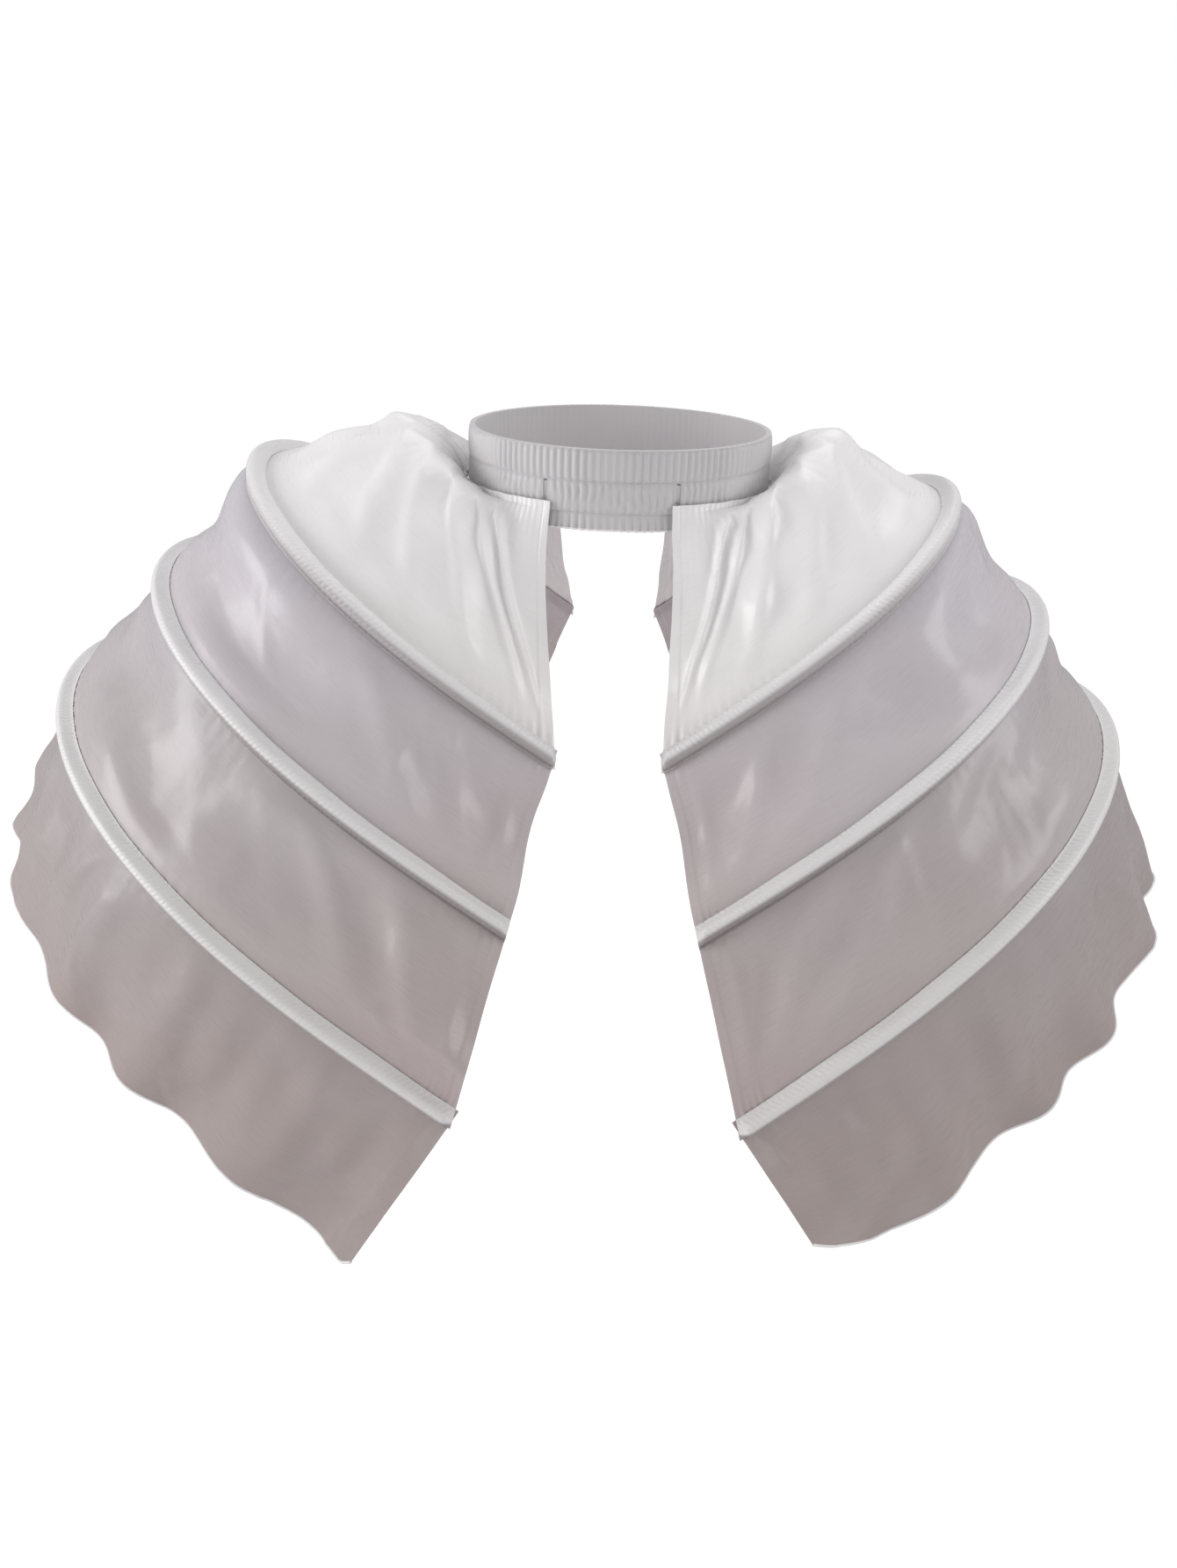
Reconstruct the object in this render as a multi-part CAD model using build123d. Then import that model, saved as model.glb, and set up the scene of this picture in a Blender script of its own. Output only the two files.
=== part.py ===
from build123d import *
import math
import os

# Pannier crinoline for the waist: one shirred elastic band that carries two separate hooped wings.
# The origin is the middle of the waist opening, level with the top of the band.
# The front faces -Y, +Z is up and the wearer's left is +X. Lengths are in millimetres.

# Waist opening
waist_width = 236
waist_depth = 180

# Shirred band: two elastic channels, a short skirt below them and an overlocked raw edge
band_cloth = 0.8
elastic_width = 20
elastic_thickness = 1.6
elastic_clearance = 0.3
channel_height = 24.5
skirt_height = 7
ruffle_height = 5
ruffle_spread = 0.9
pleat_pitch = 5.2
pleat_height = 1.7
stitch_groove = 1.5
stitch_pinch = 0.6
slit_width = 2
slit_height = 20
slit_inset = 4

# Hoops, each a springy rod bent into a U in its own tilted plane. Reach is outwards from the middle of
# the waist, gap is from the centre line to a rod's end and height is measured from the top of the band.
upper_side_reach = 285
upper_side_height = -37
upper_end_gap = 39
upper_end_reach = 184
upper_end_height = -216
middle_side_reach = 368
middle_side_height = -127
middle_end_gap = 69
middle_end_reach = 278
middle_end_height = -313
lower_side_reach = 448
lower_side_height = -225
lower_end_gap = 104
lower_end_reach = 348
lower_end_height = -433
rod_diameter = 7
tip_wall = 0.7
tip_length = 14
tip_inset = 8

# The wearer's right wing hangs a little wider and higher than the left one
wing_reach_difference = 12
lower_reach_difference = 19
wing_lift_difference = 5.5

# Casing tape over each hoop
tape_thickness = 0.8
tape_above = 16
tape_below = 14
tape_slope_angle = 55
channel_clearance = 0.6
stitch_gap = 0.5

# Wing cloth
cloth_thickness = 0.8
seam_tuck = 8
seam_lip = 12
wing_corner_gap = 47
corner_gap_difference = 5
yoke_seam_drop = 46
yoke_overlap = 5
yoke_puff = 50
fold_count = 11
fold_height = 9
seam_fold_height = 2
tier_sag = 10
flounce_length = 154
flounce_droop = 24
flounce_side_flare = 8
wave_count = 11
wave_height = 7
left_corner_round = 45
right_corner_round = 8

# Stations along a hoop at which the smooth and the folded pieces are shaped
smooth_stations = 24
stations_per_fold = 7
stations_per_wave = 9

SIDES = {"left": 1, "right": -1}
LEVELS = ("upper", "middle", "lower")
CORNER_ROUND = {"left": left_corner_round, "right": right_corner_round}

band_inner = band_cloth + elastic_thickness + 2 * elastic_clearance
band_outer = band_inner + band_cloth + pleat_height + ruffle_spread
tip_radius = rod_diameter / 2 + tip_wall
channel_radius = tip_radius + channel_clearance
axis_height = channel_radius + stitch_gap


# Curves of the wings, written for the wearer's left: x is outwards, s runs from -1 in front to 1 behind


def rod_run(turn, share, steps=24):
    """Way gone along and across by a springy rod over a share of its half, for a half length of 1."""
    along = 0
    across = 0
    for i in range(steps):
        angle = turn * math.sin(math.pi / 2 * share * (i + 0.5) / steps)
        along += math.cos(angle) * share / steps
        across += math.sin(angle) * share / steps
    return along, across


def rod_turn(depth, spread):
    """Angle that half the rod turns through when its end lies depth along and spread across."""
    low = 0.01
    high = math.radians(150)
    for _ in range(50):
        turn = (low + high) / 2
        along, across = rod_run(turn, 1)
        if across * depth < along * spread:
            low = turn
        else:
            high = turn
    return turn


class Hoop:
    """Axis of one bent rod. Its curvature falls from the side of the hip to nothing at its two ends."""

    def __init__(self, side_reach, side_height, end_gap, end_reach, end_height):
        self.side = Vector(side_reach, 0, side_height)
        across = Vector(end_gap - side_reach, 0, end_height - side_height)
        self.turn = rod_turn(end_reach, across.length)
        self.half_length = end_reach / rod_run(self.turn, 1)[0]
        self.across = across.normalized()

    def point(self, s):
        along, across = rod_run(self.turn, abs(s))
        forward = Vector(0, math.copysign(along, s), 0)
        return self.side + (forward + self.across * across) * self.half_length


def make_hoops(side):
    """The three hoops of one wing, from the top down."""
    reach = -SIDES[side] * wing_reach_difference
    lift = -SIDES[side] * wing_lift_difference
    upper = Hoop(
        upper_side_reach + reach, upper_side_height + lift, upper_end_gap, upper_end_reach, upper_end_height
    )
    middle = Hoop(
        middle_side_reach + reach,
        middle_side_height + lift,
        middle_end_gap,
        middle_end_reach,
        middle_end_height,
    )
    lower = Hoop(
        lower_side_reach - SIDES[side] * lower_reach_difference,
        lower_side_height + lift,
        lower_end_gap,
        lower_end_reach,
        lower_end_height,
    )
    return upper, middle, lower


def corner_gap(side):
    """Way from the centre line to the top corners of a wing."""
    return wing_corner_gap - SIDES[side] * corner_gap_difference


def waist_point(side, s):
    """Line on which the yoke is sewn to the outside of the band."""
    clear = band_outer + stitch_gap + cloth_thickness
    half_width = waist_width / 2 + clear
    half_depth = waist_depth / 2 + clear
    angle = s * math.acos(corner_gap(side) / half_width)
    return Vector(half_width * math.cos(angle), half_depth * math.sin(angle), -yoke_seam_drop)


def side_share(s):
    """1 at the side of the hip, falling to 0 at the front and back edges."""
    return math.cos(math.pi / 2 * s) ** 2


class Wing:
    """Seam lines of one wing: 0 is the waist, 1 to 3 are the hoops and 4 is the hem of the flounce."""

    def __init__(self, side):
        self.side = side
        self.hoops = make_hoops(side)

    def point(self, level, s):
        if level == 0:
            return waist_point(self.side, s)
        if level == 4:
            return self.hem_point(s)
        return self.hoops[level - 1].point(s)

    def along(self, level, s):
        step = 0.004
        before = self.point(level, max(-1, s - step))
        after = self.point(level, min(1, s + step))
        return (after - before).normalized()

    def hem_direction(self, s):
        """Way the flounce leaves the lowest hoop, drooping inwards and least so at the side of the hip."""
        along = self.along(3, s)
        down = self.point(3, s) - self.point(2, s)
        down = (down - along * down.dot(along)).normalized()
        inwards = along.cross(down)
        droop = math.radians(flounce_droop - flounce_side_flare * side_share(s))
        return down * math.cos(droop) + inwards * math.sin(droop)

    def hem_point(self, s):
        return self.point(3, s) + self.hem_direction(s) * flounce_length

    def frame(self, level, s):
        """Point on a seam line with its directions down square to the seam and out of the cloth."""
        point = self.point(level, s)
        along = self.along(level, s)
        down = self.point(level + 1, s) - self.point(max(level - 1, 0), s)
        down = (down - along * down.dot(along)).normalized()
        return point, down, down.cross(along)

    def grain(self, level, piece, s):
        """Way the cloth below seam line piece crosses the seam at level, for each millimetre down."""
        _, down, _ = self.frame(level, s)
        along = self.along(level, s)
        way = self.point(piece + 1, s) - self.point(piece, s)
        return down + along * (way.dot(along) / way.dot(down))


# Solids made from rows of points


def stations(count):
    return [2 * i / count - 1 for i in range(count + 1)]


def sheet_solid(outer, normals):
    """Closed sheet of cloth between a grid of points on its outer face and the same grid moved inwards."""
    inner = [
        [point - normal * cloth_thickness for point, normal in zip(points, directions)]
        for points, directions in zip(outer, normals)
    ]
    outer_face = Face.make_surface_from_array_of_points(outer)
    inner_face = Face.make_surface_from_array_of_points(inner)
    faces = [outer_face, inner_face]
    for edge in outer_face.edges():
        partner = min(inner_face.edges(), key=lambda other: (other @ 0.5 - edge @ 0.5).length)
        faces.append(Face.make_surface_from_curves(edge, partner))
    return Solid(Shell(faces))


def blend(a, b, t):
    return a * (1 - t) + b * t


def span(start, start_way, end, end_way, t):
    """Point on a smooth curve that leaves start along one way and reaches end along another."""
    reach = (end - start).length
    return (
        start * (2 * t**3 - 3 * t**2 + 1)
        + start_way * reach * (t**3 - 2 * t**2 + t)
        + end * (3 * t**2 - 2 * t**3)
        + end_way * reach * (t**3 - t**2)
    )


def fold_wave(s):
    """Height of the gathers along a seam, from 0 in a valley to 1 on a crest."""
    place = (s + 1) / 2 + 0.012 * math.sin(3 * math.pi * s)
    uneven = 0.8 + 0.2 * math.sin(5 * s + 1)
    return uneven * (1 - math.cos(2 * math.pi * fold_count * place)) / 2


def yoke_column(wing, s):
    """Points down the gathered yoke and their outward directions, from the waist seam to the upper hoop."""
    top, _, _ = wing.frame(0, s)
    end, _, end_out = wing.frame(1, s)
    end_down = wing.grain(1, 0, s)
    top_out = wing.along(0, s).cross(Vector(0, 0, 1))
    sideways = 1 - abs(s)
    leave = blend(Vector(0, 0, -1), top_out, 0.25 + 0.5 * sideways).normalized()
    arrive = end - end_down * tape_above - end_out * axis_height
    rows = [
        (top + Vector(0, 0, yoke_overlap) + top_out * (seam_fold_height * fold_wave(s)), top_out),
        (top + top_out * (seam_fold_height * fold_wave(s)), top_out),
    ]
    for t in (0.05, 0.12, 0.21, 0.32, 0.45, 0.6, 0.76, 0.9):
        out = blend(top_out, end_out, t).normalized()
        puff = yoke_puff * side_share(s) * math.sin(math.pi * t**0.5) ** 2
        fold = blend(seam_fold_height, fold_height, min(1, 3 * t)) * (1 - t) ** 1.3
        smooth = span(top, leave, arrive, end_down, t) + Vector(0, 0, puff)
        rows.append((smooth + out * (fold * fold_wave(s)), out))
    for drop in (-tape_above, -tape_above / 2, 0, seam_lip):
        rows.append((end + end_down * drop - end_out * axis_height, end_out))
    return rows


def tier_column(wing, level, s):
    """Points down a plain tier that hangs from the hoop at level and ends on the next one."""
    start, _, start_out = wing.frame(level, s)
    end, _, end_out = wing.frame(level + 1, s)
    start_down = wing.grain(level, level, s)
    end_down = wing.grain(level + 1, level, s)
    under = axis_height + cloth_thickness + stitch_gap
    leave_at = seam_lip + 2
    rows = [(start + start_down * drop - start_out * under, start_out) for drop in (-seam_tuck, 0, leave_at)]
    leave = rows[-1][0]
    arrive = end - end_down * tape_above - end_out * axis_height
    for t in (0.2, 0.4, 0.6, 0.8):
        out = blend(start_out, end_out, t).normalized()
        sag = tier_sag * math.sin(math.pi * t) ** 2
        rows.append((span(leave, start_down, arrive, end_down, t) - out * sag, out))
    for drop in (-tape_above, -tape_above / 2, 0, seam_lip):
        rows.append((end + end_down * drop - end_out * axis_height, end_out))
    return rows


def corner_trim(wing, s):
    """Share of the flounce that is left at s, cut short at the rounded corners of the hem."""
    radius = CORNER_ROUND[wing.side]
    from_end = (1 - abs(s)) * wing.hoops[2].half_length
    into_corner = max(0, 1 - from_end / radius)
    return 1 - radius * (1 - math.cos(math.pi / 2 * into_corner)) / flounce_length


def hem_wave(s):
    """Sideways swing of the free hem, from -1 to 1."""
    place = (s + 1) / 2 + 0.01 * math.sin(4 * math.pi * s + 1)
    return math.cos(2 * math.pi * wave_count * place)


def flounce_column(wing, s):
    """Points down the flounce from under the lowest hoop to its free wavy hem."""
    start, start_down, start_out = wing.frame(3, s)
    under = axis_height + cloth_thickness + stitch_gap
    leave = start + start_down * (seam_lip + 2) - start_out * under
    tucked = [start + start_down * drop - start_out * under for drop in (-seam_tuck, 0)]
    rows = [(point, start_out) for point in (*tucked, leave)]
    way = wing.hem_direction(s)
    hem_out = way.cross(wing.along(3, s))
    length = (flounce_length - seam_lip - 2) * corner_trim(wing, s)
    end = leave + way * length
    for t in (0.2, 0.4, 0.6, 0.8, 1):
        out = blend(start_out, hem_out, t).normalized()
        swing = wave_height * t**1.3 * hem_wave(s)
        rows.append((span(leave, start_down, end, way, t) + out * swing, out))
    return rows


def cloth_piece(column, count):
    columns = [column(s) for s in stations(count)]
    outer = [[point for point, _ in rows] for rows in columns]
    normals = [[out for _, out in rows] for rows in columns]
    return sheet_solid(outer, normals)


def yoke(wing):
    return cloth_piece(lambda s: yoke_column(wing, s), fold_count * stations_per_fold)


def tier(wing, level):
    return cloth_piece(lambda s: tier_column(wing, level, s), smooth_stations)


def flounce(wing):
    return cloth_piece(lambda s: flounce_column(wing, s), wave_count * stations_per_wave)


# Hoops and their casings


def rod(wing, level, inset, count=14):
    """Path of a rod's axis, stopping short of the ends of its casing."""
    hoop = wing.hoops[level - 1]
    limit = 1 - inset / hoop.half_length
    return Spline(*[hoop.point(s * limit) for s in stations(count)])


def hoop_solid(wing, level):
    path = rod(wing, level, tip_inset + tip_wall)
    section = Plane(path @ 0, z_dir=path % 0) * Circle(rod_diameter / 2)
    return sweep(section, path=path)


def tips(wing, level):
    """Closed caps on the two ends of a rod."""
    path = rod(wing, level, tip_inset)
    caps = []
    for end, way in ((path @ 0, path % 0), (path @ 1, -(path % 1))):
        plane = Plane(end, z_dir=way)
        cap = Cylinder(tip_radius, tip_length, align=(Align.CENTER, Align.CENTER, Align.MIN))
        cap = fillet(cap.edges().group_by(Axis.Z)[0], tip_radius * 0.4)
        bore = Pos(0, 0, tip_wall) * Cylinder(
            rod_diameter / 2, tip_length, align=(Align.CENTER, Align.CENTER, Align.MIN)
        )
        caps.append((plane * (cap - bore)).solid())
    return Compound(caps)


def casing_section(wing, level, s):
    """Outline of the tape across the hoop: stitched above, arched over the rod, then tucked in below."""
    point, down, out = wing.frame(level, s)
    base = stitch_gap - axis_height
    outer = channel_radius + tape_thickness

    def at(across, up):
        return point + down * across + out * up

    def arch(radius):
        turn = [math.radians(angle) for angle in (tape_slope_angle, (tape_slope_angle + 180) / 2, 180)]
        return [at(-radius * math.cos(a), radius * math.sin(a)) for a in turn]

    over = arch(outer)
    under = arch(channel_radius)
    top, low = at(-tape_above, base + tape_thickness), at(tape_below, base + tape_thickness)
    top_in, low_in = at(-tape_above, base), at(tape_below, base)
    tuck = at(outer, base + tape_thickness)
    tuck_in = at(channel_radius, base)
    edges = [
        Line(top, over[0]),
        ThreePointArc(*over),
        Line(over[-1], tuck),
        Line(tuck, low),
        Line(low, low_in),
        Line(low_in, tuck_in),
        Line(tuck_in, under[-1]),
        ThreePointArc(*reversed(under)),
        Line(under[0], top_in),
        Line(top_in, top),
    ]
    return Wire(edges)


def casing(wing, level):
    tape = Solid.make_loft([casing_section(wing, level, s) for s in stations(smooth_stations)])
    return Solid(Shell(tape.faces()))


# Waistband


def ellipse_face(grow, height):
    return Pos(0, 0, height) * Ellipse(waist_width / 2 + grow, waist_depth / 2 + grow)


def ring(inner, outer, top, bottom):
    """Plain elliptical ring round the waist between two heights."""
    face = ellipse_face(outer, bottom) - ellipse_face(inner, bottom)
    return extrude(face, amount=top - bottom)


def pleated_row(grow, pleat, top, bottom):
    """Shirred cloth between two heights, with one crest and one valley for each pleat."""
    half_width = waist_width / 2 + grow
    half_depth = waist_depth / 2 + grow
    girth = math.pi * (half_width + half_depth)
    count = round(girth / pleat_pitch)
    points = []
    for i in range(2 * count):
        angle = math.pi * i / count
        rise = pleat * (i % 2)
        points.append(((half_width + rise) * math.cos(angle), (half_depth + rise) * math.sin(angle)))
    outline = Face(Wire.make_polygon([Vector(x, y, bottom) for x, y in points], close=True))
    return extrude(outline, amount=top - bottom)


def elastic_top(row):
    return -row * channel_height - (channel_height - elastic_width) / 2


def elastic(row):
    inner = band_cloth + elastic_clearance
    top = elastic_top(row)
    return ring(inner, inner + elastic_thickness, top, top - elastic_width)


def band_depth():
    return 2 * channel_height + skirt_height + ruffle_height


def core(grow):
    """Everything inside an ellipse round the waist, over the height of the band."""
    return extrude(ellipse_face(grow, -band_depth()), amount=band_depth())


def slit(side):
    """Short upright opening through the outer cloth of the lower channel, near a wing's front corner."""
    cutter = Box(slit_width, waist_depth, slit_height, align=(Align.CENTER, Align.MAX, Align.MAX))
    cutter = Pos(SIDES[side] * (corner_gap(side) + slit_inset), 0, elastic_top(1)) * cutter
    return cutter - core(band_inner)


def waistband():
    """Shirred cloth in rows that are pinched by the stitch lines between them, round two elastic channels."""
    flat = band_inner + band_cloth
    skirt_top = -2 * channel_height
    half_groove = stitch_groove / 2
    band = core(flat - stitch_pinch)
    band += pleated_row(flat, pleat_height, 0, half_groove - channel_height)
    band += pleated_row(flat, pleat_height, -channel_height - half_groove, skirt_top + half_groove)
    band += pleated_row(flat, pleat_height, skirt_top - half_groove, skirt_top - skirt_height)
    band += pleated_row(flat, pleat_height + ruffle_spread, skirt_top - skirt_height, -band_depth())
    band -= core(0)
    for row in range(2):
        top = elastic_top(row) + elastic_clearance
        bottom = elastic_top(row) - elastic_width - elastic_clearance
        band -= ring(band_cloth, band_inner, top, bottom)
    for side in SIDES:
        band -= slit(side)
    return band


def wing_pieces(wing):
    """Every piece of one wing, on the side of +X."""
    pieces = {
        "yoke": yoke(wing),
        "second_tier": tier(wing, 1),
        "third_tier": tier(wing, 2),
        "hem_flounce": flounce(wing),
    }
    for level, name in enumerate(LEVELS, start=1):
        pieces[f"{name}_casing"] = casing(wing, level)
        pieces[f"{name}_hoop"] = hoop_solid(wing, level)
        pieces[f"{name}_hoop_tips"] = tips(wing, level)
    return pieces


def build():
    nodes = {
        "waistband_casing": waistband(),
        "waist_elastic_upper": elastic(0),
        "waist_elastic_lower": elastic(1),
    }
    for side in SIDES:
        for name, piece in wing_pieces(Wing(side)).items():
            nodes[f"{side}_{name}"] = piece if SIDES[side] > 0 else mirror(piece, about=Plane.YZ)
    return nodes


os.makedirs("parts", exist_ok=True)
for node_name, solid in build().items():
    export_step(solid, f"parts/{node_name}.step")
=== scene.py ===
import bpy
import math
import numpy as np
from mathutils import Matrix, Vector


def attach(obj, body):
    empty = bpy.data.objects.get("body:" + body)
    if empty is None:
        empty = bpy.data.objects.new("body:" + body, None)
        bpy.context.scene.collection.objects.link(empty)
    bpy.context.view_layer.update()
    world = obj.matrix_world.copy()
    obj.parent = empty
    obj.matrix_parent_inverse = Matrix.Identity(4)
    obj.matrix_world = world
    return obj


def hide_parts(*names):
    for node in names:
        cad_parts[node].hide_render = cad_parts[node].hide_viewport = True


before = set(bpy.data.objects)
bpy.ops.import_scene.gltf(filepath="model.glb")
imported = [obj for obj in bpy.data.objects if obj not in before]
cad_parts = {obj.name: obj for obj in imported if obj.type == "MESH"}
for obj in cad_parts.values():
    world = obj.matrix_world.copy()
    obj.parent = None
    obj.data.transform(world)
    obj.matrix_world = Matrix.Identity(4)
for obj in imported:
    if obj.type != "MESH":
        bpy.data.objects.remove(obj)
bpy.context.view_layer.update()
print("frame loaded")

# Lines of the garment in metres and degrees, the same as in the CAD model. The two wings are shaped on +X,
# s runs from -1 at the front edge to 1 at the back edge, and the right wing is then turned over to -X.
waist = {"width": 0.236, "depth": 0.180, "seamDrop": 0.046, "clear": 0.0077}
hoopLines = {
    "upper": {"side": (0.285, -0.037), "gap": 0.039, "reach": 0.184, "endHeight": -0.216},
    "middle": {"side": (0.368, -0.127), "gap": 0.069, "reach": 0.278, "endHeight": -0.313},
    "lower": {"side": (0.448, -0.225), "gap": 0.104, "reach": 0.348, "endHeight": -0.433},
}
wings = {
    "left": {
        "sign": 1, "wider": -0.012, "lowWider": -0.019, "flare": 12, "higher": -0.0055,
        "cornerGap": 0.042, "cornerRound": 0.045, "seed": 3,
    },
    "right": {
        "sign": -1, "wider": 0.012, "lowWider": 0.019, "flare": 8, "higher": 0.0055,
        "cornerGap": 0.052, "cornerRound": 0.008, "seed": 11,
    },
}
hoopNames = ["upper", "middle", "lower"]
layers = {
    "cloth": 0.0008, "axisHeight": 0.0053, "under": 0.0066, "tapeAbove": 0.016,
    "seamLip": 0.0065, "seamTuck": 0.008, "leave": 0.0085,
}
drawnCloth = layers["cloth"] * 0.6  # thinner than in the CAD model, so that folds keep clear of the next layer
flounceCut = {"length": 0.154, "droop": 24, "waves": 11, "swing": 0.007}


def unit(v):
    return v / np.linalg.norm(v, axis=-1, keepdims=True)


def dot(a, b):
    return (a * b).sum(axis=-1, keepdims=True)


def smooth(x, low, high):
    t = np.clip((x - low) / (high - low), 0, 1)
    return t * t * (3 - 2 * t)


def arcLength(line):
    return np.concatenate(([0], np.cumsum(np.linalg.norm(np.diff(line, axis=0), axis=1))))


def sideShare(s):
    # 1 at the side of the hip, falling to 0 at the front and back edges
    return np.cos(np.pi / 2 * s) ** 2


def rodRun(turn, share, steps=480):
    # way gone along and across over a share of a bent rod's half, for a half length of 1
    u = np.linspace(0, 1, steps + 1)
    angle = turn * np.sin(np.pi / 2 * u)
    along = np.concatenate(([0], np.cumsum((np.cos(angle[1:]) + np.cos(angle[:-1])) / 2 * u[1])))
    across = np.concatenate(([0], np.cumsum((np.sin(angle[1:]) + np.sin(angle[:-1])) / 2 * u[1])))
    return np.interp(share, u, along), np.interp(share, u, across)


def rodTurn(depth, spread, halvings=40):
    # the angle through which half the rod turns to end that deep and that far out
    low, high = 0.01, math.radians(150)
    for i in range(halvings):
        turn = (low + high) / 2
        along, across = rodRun(turn, 1)
        if across * depth < along * spread:
            low = turn
        else:
            high = turn
    return turn


def hoopLine(side, name, s):
    hoop, wing = hoopLines[name], wings[side]
    wider = wing["lowWider"] if name == "lower" else wing["wider"]
    start = np.array([hoop["side"][0] + wider, 0, hoop["side"][1] + wing["higher"]])
    across = np.array([hoop["gap"] - start[0], 0, hoop["endHeight"] - start[2]])
    turn = rodTurn(hoop["reach"], np.linalg.norm(across))
    half = hoop["reach"] / rodRun(turn, 1)[0]
    along, spread = rodRun(turn, np.abs(s))
    forward = np.stack([0 * s, np.copysign(along, s), 0 * s], axis=-1)
    return start + (forward + unit(across) * spread[:, None]) * half


def waistLine(side, s):
    halfWidth = waist["width"] / 2 + waist["clear"]
    halfDepth = waist["depth"] / 2 + waist["clear"]
    angle = s * math.acos(wings[side]["cornerGap"] / halfWidth)
    return np.stack([halfWidth * np.cos(angle), halfDepth * np.sin(angle), 0 * s - waist["seamDrop"]], axis=-1)


def wingLines(side, s):
    # each seam line with the ways along it, down square to it and out of the cloth
    points = [waistLine(side, s)] + [hoopLine(side, name, s) for name in hoopNames]
    along = [unit(np.gradient(p, s, axis=0, edge_order=2)) for p in points]
    down = points[3] - points[2]
    down = unit(down - along[3] * dot(down, along[3]))
    droop = np.radians(flounceCut["droop"] - wings[side]["flare"] * sideShare(s))[:, None]
    hemWay = down * np.cos(droop) + np.cross(along[3], down) * np.sin(droop)
    points.append(points[3] + hemWay * flounceCut["length"])
    lines = []
    for level in range(4):
        way = points[level + 1] - points[max(level - 1, 0)]
        down = unit(way - along[level] * dot(way, along[level]))
        lines.append({
            "point": points[level], "along": along[level], "down": down,
            "out": np.cross(down, along[level]),
        })
    lines.append({"point": points[4], "way": hemWay, "out": np.cross(hemWay, along[3])})
    return lines


def grainAt(lines, level, piece):
    # the way that the cloth below seam line piece crosses the seam at level, for each metre down
    way = lines[piece + 1]["point"] - lines[piece]["point"]
    line = lines[level]
    return line["down"] + line["along"] * (dot(way, line["along"]) / dot(way, line["down"]))


def spanCurve(start, startWay, end, endWay, t):
    reach = np.linalg.norm(end - start, axis=-1, keepdims=True)
    return (start * (2 * t**3 - 3 * t**2 + 1) + startWay * reach * (t**3 - 2 * t**2 + t)
            + end * (3 * t**2 - 2 * t**3) + endWay * reach * (t**3 - t**2))


def clothColumns(count, hemShare=0.024, hemColumns=19):
    # places along a seam, closer together at the two edges where the hems are turned
    edge = np.linspace(0, hemShare, hemColumns)
    middle = np.linspace(hemShare, 1 - hemShare, count)
    u = np.concatenate((edge, middle[1:-1], 1 - edge[::-1]))
    return 2 * u - 1


# In what follows, u and v are metres along and down a sheet of cloth.
def longWaves(draw, u, v, look, shape):
    # a sum of long waves, which run across the cloth about square to their lean
    shortest, longest = look["sizes"]
    total = 0 * u * v
    for i in range(look["waves"]):
        size = shortest * (longest / shortest) ** draw.rand()
        angle = look["lean"] + look["spread"] * (draw.rand() - 0.5) * math.pi
        phase = 2 * math.pi * ((u * math.cos(angle) + v * math.sin(angle)) / size + draw.rand())
        total = total + size * shape(phase)
    return look["height"] * total / (math.sqrt(look["waves"]) * longest)


def facets(seed, u, v, look):
    # crisp taffeta stands in nearly flat facets with soft edges between them
    draw = np.random.RandomState(seed + 500)
    longest = look["sizes"][1]
    u = u + 0.18 * longest * np.sin(2 * math.pi * v / (1.9 * longest) + draw.rand() * 6)
    v = v + 0.18 * longest * np.sin(2 * math.pi * u / (2.3 * longest) + draw.rand() * 6)
    return longWaves(draw, u, v, look, lambda phase: np.arcsin(0.97 * np.sin(phase)))


def creases(seed, u, v, look):
    # soft ridges, each fading at both ends
    draw = np.random.RandomState(seed)
    total = 0 * u * v
    for i in range(look["count"]):
        cu = u.min() + draw.rand() * (u.max() - u.min())
        cv = v.min() + draw.rand() * (v.max() - v.min())
        angle = look["lean"] + (draw.rand() - 0.5) * 1.3
        width = look["width"] * (0.6 + 0.8 * draw.rand())
        length = look["length"] * (0.5 + draw.rand())
        alongCrease = (u - cu) * math.cos(angle) + (v - cv) * math.sin(angle)
        aside = -(u - cu) * math.sin(angle) + (v - cv) * math.cos(angle)
        aside = aside - 0.25 * alongCrease**2 / length
        total = total + (draw.rand() - 0.35) * np.exp(-(aside / width) ** 2 - (alongCrease / length) ** 2)
    return look["height"] * total


def rumpleCloth(seed, u, v, look):
    total = longWaves(np.random.RandomState(seed), u, v, look["rumple"], np.sin)
    total = total + facets(seed, u, v, look["facets"])
    return total + creases(seed + 1, u, v, look["creases"]) if "creases" in look else total


def edgeFolds(edge, reach, folds, rise, bend=1.0, sway=0.0):
    # folds that run down beside the open edge; each has its distance from the edge at its top and at its foot
    total = 0 * edge
    for start, finish, wide, high in folds:
        centre = finish + (start - finish) * (1 - reach) ** bend + sway * np.sin(6 * reach + start * 90)
        total = total + high * rise * np.exp(-((edge - centre) / wide) ** 2)
    return total


def edgeHem(u, look):
    # the turned hem at the two open edges of a wing, one more layer of cloth with a stitched inner edge
    fromEdge = np.minimum(u - u.min(), u.max() - u)
    return look["hemRise"] * (1 - smooth(fromEdge, look["hemWidth"] - 0.0012, look["hemWidth"] + 0.0006))


def unevenRipple(u, pitch, wander, wanderRate, swellRate, shift):
    swell = 0.6 + 0.4 * np.sin(u * swellRate + shift)
    return np.sin(2 * np.pi * u / pitch + wander * np.sin(u * wanderRate)) * swell


seamLook = {
    "ripple": 0.0005, "puckerPitch": 0.0055, "puckerPlace": 0.0095, "puckerReach": 0.0045,
    "gatherPitch": 0.011, "gatherReach": 0.010,
}


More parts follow.
